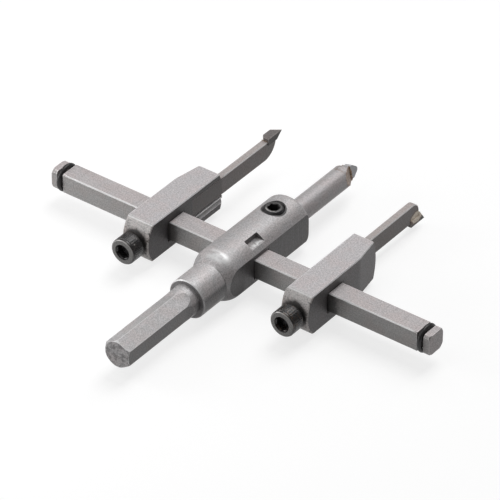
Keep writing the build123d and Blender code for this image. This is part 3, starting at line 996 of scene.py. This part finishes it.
set_screw_radius = (set_screw_high.y - set_screw_low.y) / 2
set_screw_length = set_screw_high.z - set_screw_low.z
set_screw_rings = (
    screw_socket(SET_SCREW_SOCKET, SET_SCREW_SOCKET_DEPTH, SET_SCREW_MOUTH)
    + [
        round_ring(set_screw_radius - BEVEL - 0.15 * MM, 0),
        round_ring(set_screw_radius - BEVEL, 0.1 * MM),
    ]
    + thread(
        set_screw_radius, SET_THREAD_START, SET_THREAD_LENGTH, SET_SCREW_PITCH, SET_THREAD_DEPTH
    )
    + [round_ring(set_screw_radius, 4.2 * MM), round_ring(set_screw_radius, set_screw_length)]
)
set_screw_top = Vector((0, set_screw_middle, set_screw_high.z))
shape = turned(set_screw_rings, set_screw_top, Vector((0, 0, -1)), Vector((0, 1, 0)))
set_screw = add_piece("set_screw", shape, set_screw_black, "set_screw")
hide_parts("pilot_set_screw")

# %% [markdown]
# ## Retaining rings
# A ring of round spring wire sits in a groove near each end of the crossbar and stops the
# block from coming off. In the solids its wire has eight sides. Here it is a bent round
# wire with a small gap at the bottom: the same skin, over circles placed along an arc.

# %% Bend the two wire rings
WIRE_RADIUS = 0.9 * MM
SPLIT_ANGLE = math.radians(36)
BEND_STEPS = 96
WIRE_SIDES = 24


def bent_wire(centre, bend_radius):
    """A round wire bent around the x axis, with its gap facing down and rounded ends."""
    loops = []
    bend = math.tau - SPLIT_ANGLE
    for step in range(BEND_STEPS + 1):
        turn = -math.pi / 2 + SPLIT_ANGLE / 2 + bend * step / BEND_STEPS
        out = Vector((0, math.cos(turn), math.sin(turn)))
        to_end = min(step, BEND_STEPS - step) / 3
        thickness = WIRE_RADIUS * math.sqrt(min(1.0, 0.35 + 0.65 * to_end))
        loop = []
        for corner in range(WIRE_SIDES):
            angle = math.tau * corner / WIRE_SIDES
            distance = bend_radius + thickness * math.cos(angle)
            loop.append(centre + out * distance + Vector((thickness * math.sin(angle), 0, 0)))
        loops.append(loop)
    return skin(loops)


for side in SIDES:
    low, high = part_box(f"{side}_retaining_ring")
    centre = Vector(((low.x + high.x) / 2, bar_station, 0))
    shape = bent_wire(centre, (high.y - low.y) / 2 - WIRE_RADIUS)
    ring = add_piece(f"{side}_wire_ring", shape, wire_black, "spindle")
    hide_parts(f"{side}_retaining_ring")

# %% [markdown]
# ## Tip of the pilot drill
# The carbide plate sits in a slot across the end of the rod. On both sides of it the rod
# is ground away down to the plate, along a slope that lets the dust out, and the plate
# itself is ground to a blunt point. Both are made here from the solids: the rod loses two
# wedges, and the plate is drawn again in the old one's place, thicker and with its point.

# %% Wedges and flat plates
def prism(outline, across, along, half):
    """A plate whose outline holds stations on the axis and distances across it."""
    loops = []
    for offset in (-half, half):
        loops.append([
            Vector((0, station, 0)) + across * distance + along * offset
            for station, distance in outline
        ])
    return skin(loops)


def cut_away(name, node, cutters):
    """The mesh of a node without the space that the cutters fill."""
    rest = bpy.data.objects.new(name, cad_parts[node].data.copy())
    bpy.context.scene.collection.objects.link(rest)
    tools = []
    for cutter in cutters:
        bmesh.ops.recalc_face_normals(cutter, faces=cutter.faces[:])
        mesh = bpy.data.meshes.new("wedge")
        cutter.to_mesh(mesh)
        tool = bpy.data.objects.new("wedge", mesh)
        bpy.context.scene.collection.objects.link(tool)
        cut = rest.modifiers.new("cut", "BOOLEAN")
        cut.operation = "DIFFERENCE"
        cut.solver = "EXACT"
        cut.object = tool
        tools.append(tool)
    shape = bmesh.new()
    shape.from_object(rest, bpy.context.evaluated_depsgraph_get())
    for leftover in [rest, *tools]:
        mesh = leftover.data
        bpy.data.objects.remove(leftover)
        bpy.data.meshes.remove(mesh)
    return shape


# %% Grind the rod
OVERCUT = 1 * MM

far_out = pilot_radius * 2
past_tip = plate_high.y + OVERCUT
behind = gullet_start - OVERCUT
wedge = [
    (gullet_end, gullet_floor),
    (behind, pilot_radius + gullet_slope * OVERCUT),
    (behind, far_out),
    (past_tip, far_out),
    (past_tip, gullet_floor),
]
wedges = [prism(wedge, plate_way * side, plate_up, far_out) for side in SIDES.values()]
pilot_rod = add_piece(
    "pilot_rod", cut_away("rod", "pilot_drill", wedges), pilot, "pilot",
    sharp_angle=15,
)
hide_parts("pilot_drill")

# %% Grind the plate to a blunt point
POINT_LENGTH = 3.0 * MM

half_outline = [
    (plate_low.y, PLATE_HALF_WIDTH),
    (plate_high.y - POINT_LENGTH, PLATE_HALF_WIDTH),
    (plate_high.y - 0.75 * MM, 0.8 * MM),
    (plate_high.y - 0.5 * MM, 0.3 * MM),
]
other_half = [(station, -distance) for station, distance in reversed(half_outline)]
ground_plate = add_piece(
    "pilot_plate",
    prism(half_outline + other_half, plate_up, plate_way, PLATE_HALF_THICKNESS),
    plate, "pilot",
)
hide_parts("pilot_carbide_tip")

# %% [markdown]
# ## Right insert
# The right insert hangs under the end of its bit. Its front face leans back from the
# cutting edge and meets the end of the bit well above the seat. It is drawn again here from
# its solid's box, with that taller front: three outlines across its width, joined by a skin.
# The front slants too, so each outline starts a little further back than the one beside it.

# %% Draw the right insert
INSERT_SLANT = 2.6 * MM
INSERT_RELIEF = 2.92 * MM
FRONT_HEIGHT = 4.3 * MM
REAR_CLIP = 1.2 * MM

insert_low, insert_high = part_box("right_carbide_insert")


def insert_outline(x, rear):
    """The insert's outline at a distance along the crossbar."""
    share = (insert_high.x - x) / (insert_high.x - insert_low.x)
    edge = insert_high.y - share * INSERT_SLANT
    top = insert_low.z + FRONT_HEIGHT
    return [
        Vector((x, edge, insert_low.z)),
        Vector((x, edge - INSERT_RELIEF, top)),
        Vector((x, edge - INSERT_RELIEF, insert_high.z)),
        Vector((x, rear, insert_high.z)),
        Vector((x, rear, insert_low.z)),
    ]


shape = skin([
    insert_outline(insert_low.x, insert_low.y + REAR_CLIP),
    insert_outline(insert_low.x + REAR_CLIP, insert_low.y),
    insert_outline(insert_high.x, insert_low.y),
])
right_tip = add_piece("right_insert", shape, insert, "right_holder")
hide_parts("right_carbide_insert")

# %% [markdown]
# ## Braze
# The carbide is brazed to the steel. Along the root of the pilot drill's plate the braze
# stands out as a lumpy, golden brown bead, and a thin line of it shows behind the left
# insert. A bead is a thin rod whose thickness wavers, half sunk in the corner that it
# fills. Noise from the place gives the waver, so each bead differs and stays the same on
# every run.

# %% Beads of braze
BEAD_CORNERS = 16
BEAD_STEPS = 48
LUMPS = 0.6
LUMPS_PER_METRE = 1500


def braze_bead(path, outward, radius):
    """A lumpy rod along the points of a path, which thins out towards both ends."""
    loops = []
    for step, point in enumerate(path):
        share = step / (len(path) - 1)
        taper = 0.3 + 0.7 * math.sqrt(max(0.0, math.sin(math.pi * share)))
        ahead = path[min(step + 1, len(path) - 1)] - path[max(step - 1, 0)]
        across = ahead.cross(outward).normalized()
        loop = []
        for corner in range(BEAD_CORNERS):
            angle = math.tau * corner / BEAD_CORNERS
            out = across * math.cos(angle) + outward * math.sin(angle)
            waver = 1 + LUMPS * noise.noise((point + out * radius) * LUMPS_PER_METRE)
            loop.append(point + out * radius * taper * waver)
        loops.append(loop)
    return skin(loops)


# %% The finish of the braze
BRAZE_BROWN = (0.2, 0.13, 0.085)
BRAZE_GOLD = (0.5, 0.38, 0.27)
SOOT = (0.06, 0.04, 0.03)

braze = Finish("braze_finish", metallic=0.6, roughness=0.45, colour=(0.34, 0.24, 0.16))
dull = braze.noise(0.5 * MM, detail=3.0).rises(0.3, 0.7)
sooty = braze.noise(0.7 * MM, detail=2.0, warp=0.8).rises(0.52, 0.64)
braze.paint(braze.blend(dull, shade(BRAZE_BROWN), shade(BRAZE_GOLD)))
braze.stain(sooty, shade(SOOT))
braze.rough(0.35 + dull * 0.25)
braze.relief(dull, 0.04 * MM)
print("the braze is brown", BRAZE_BROWN, "to gold", BRAZE_GOLD)

# %% Braze the pilot drill's plate
ROOT_HALF_LENGTH = 2.9 * MM
ROOT_RADIUS = 0.6 * MM


def plate_root(side):
    """The corner between a face of the plate and the slope that leads to it."""
    points = []
    for step in range(BEAD_STEPS + 1):
        height = ROOT_HALF_LENGTH * (2 * step / BEAD_STEPS - 1)
        point = plate_way * (side * gullet_floor) + plate_up * height
        points.append(point + Vector((0, gullet_end, 0)))
    return points


for name, side in SIDES.items():
    bead = braze_bead(plate_root(side), plate_way * side, ROOT_RADIUS)
    add_piece(f"pilot_braze_{name}", bead, braze, "pilot")

# %% Braze behind the left insert
SEAM_RADIUS = 0.22 * MM

seam_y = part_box("left_carbide_insert")[0].y
bit_low, bit_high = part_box("left_cutter_bit")
seam = [
    Vector((bit_low.x + (bit_high.x - bit_low.x) * step / BEAD_STEPS, seam_y, bit_high.z))
    for step in range(BEAD_STEPS + 1)
]
bead = braze_bead(seam, Vector((0, 0, 1)), SEAM_RADIUS)
add_piece("left_insert_braze", bead, braze, "left_holder")
